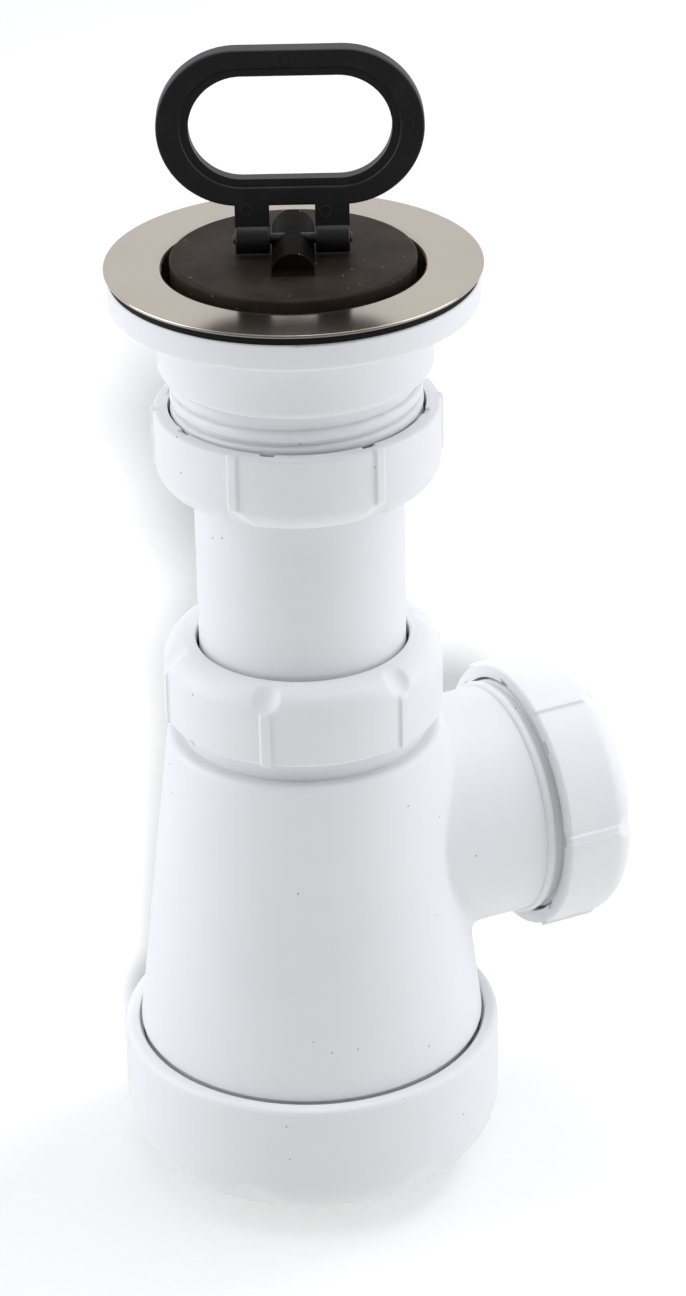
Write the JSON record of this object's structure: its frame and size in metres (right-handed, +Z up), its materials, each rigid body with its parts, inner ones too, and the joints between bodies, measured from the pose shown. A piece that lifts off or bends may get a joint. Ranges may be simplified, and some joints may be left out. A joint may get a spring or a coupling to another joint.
{
  "type": "bottle sink trap with basket waste",
  "caption": "White plastic bottle trap standing on its cup, with a side outlet nut, an adjustable inlet pipe, a steel basket waste and a black plug with a folding pull ring.",
  "frame": {"origin": "centre of the cup's flat foot, on the trap's upright axis, in the plane that it stands on", "axes": "+Z up along the inlet pipe, +X out along the outlet"},
  "size_m": [0.0977, 0.0754, 0.2342],
  "materials": {
    "white_plastic": "satin moulded polypropylene",
    "black_rubber": "matt rubber",
    "black_plastic": "satin moulded plastic",
    "steel": "satin stainless sheet",
    "brass": "turned"
  },
  "bodies": {
    "trap": {"trap_body": "white_plastic"},
    "cup_ring": {"cup_seal": "black_rubber"},
    "cup": {"bottom_cup": "white_plastic"},
    "middle_ring": {"middle_cone_seal": "black_rubber"},
    "neck_nut": {"middle_nut": "white_plastic"},
    "outlet_ring": {"outlet_cone_seal": "black_rubber"},
    "side_nut": {"outlet_nut": "white_plastic"},
    "pipe": {"inlet_pipe": "white_plastic"},
    "upper_nut": {"top_nut": "white_plastic"},
    "upper_ring": {"top_washer": "black_rubber"},
    "waste": {"waste_body": "white_plastic", "lower_gasket": "black_rubber", "upper_gasket": "black_rubber", "steel_seat": "steel", "clamp_screw": "steel", "clamp_nut": "brass", "plug": "black_rubber", "handle_pin": "black_plastic"},
    "handle": {"pull_handle": "black_plastic"}
  },
  "joints": [
    {"name": "cup_drop", "type": "slide", "parent": "trap", "child": "cup_ring", "axis": [0, 0, -1], "range_m": [0, 0.009]},
    {"name": "cup_turn", "type": "hinge", "parent": "cup_ring", "child": "cup", "pos_m": [0, 0, 0.0154], "axis": [0, 0, -1], "range_deg": [0, 1080]},
    {"name": "neck_nut_lift", "type": "slide", "parent": "trap", "child": "middle_ring", "axis": [0, 0, 1], "range_m": [0, 0.009]},
    {"name": "neck_nut_turn", "type": "hinge", "parent": "middle_ring", "child": "neck_nut", "pos_m": [0, 0, 0.1119], "axis": [0, 0, 1], "range_deg": [0, 1080]},
    {"name": "side_nut_draw", "type": "slide", "parent": "trap", "child": "outlet_ring", "axis": [1, 0, 0], "range_m": [0, 0.009]},
    {"name": "side_nut_turn", "type": "hinge", "parent": "outlet_ring", "child": "side_nut", "pos_m": [0.0556, 0, 0.0685], "axis": [1, 0, 0], "range_deg": [0, 1080]},
    {"name": "height_adjust", "type": "slide", "parent": "trap", "child": "pipe", "axis": [0, 0, 1], "range_m": [-0.02, 0.04]},
    {"name": "upper_nut_turn", "type": "hinge", "parent": "pipe", "child": "upper_nut", "pos_m": [0, 0, 0.1522], "axis": [0, 0, -1], "range_deg": [0, 900]},
    {"name": "waste_lift", "type": "slide", "parent": "pipe", "child": "upper_ring", "axis": [0, 0, 1], "range_m": [0, 0.0075]},
    {"name": "waste_swivel", "type": "hinge", "parent": "upper_ring", "child": "waste", "pos_m": [0, 0, 0.1572], "axis": [0, 0, 1], "continuous": true},
    {"name": "handle_fold", "type": "hinge", "parent": "waste", "child": "handle", "pos_m": [0, 0, 0.1974], "axis": [0.9063, -0.4226, 0], "range_deg": [-62, 62]}
  ],
  "couplings": [
    {"joint": "cup_drop", "follows": "cup_turn", "m_per_rad": 0.00047746},
    {"joint": "neck_nut_lift", "follows": "neck_nut_turn", "m_per_rad": 0.00047746},
    {"joint": "side_nut_draw", "follows": "side_nut_turn", "m_per_rad": 0.00047746},
    {"joint": "waste_lift", "follows": "upper_nut_turn", "m_per_rad": 0.00047746}
  ]
}
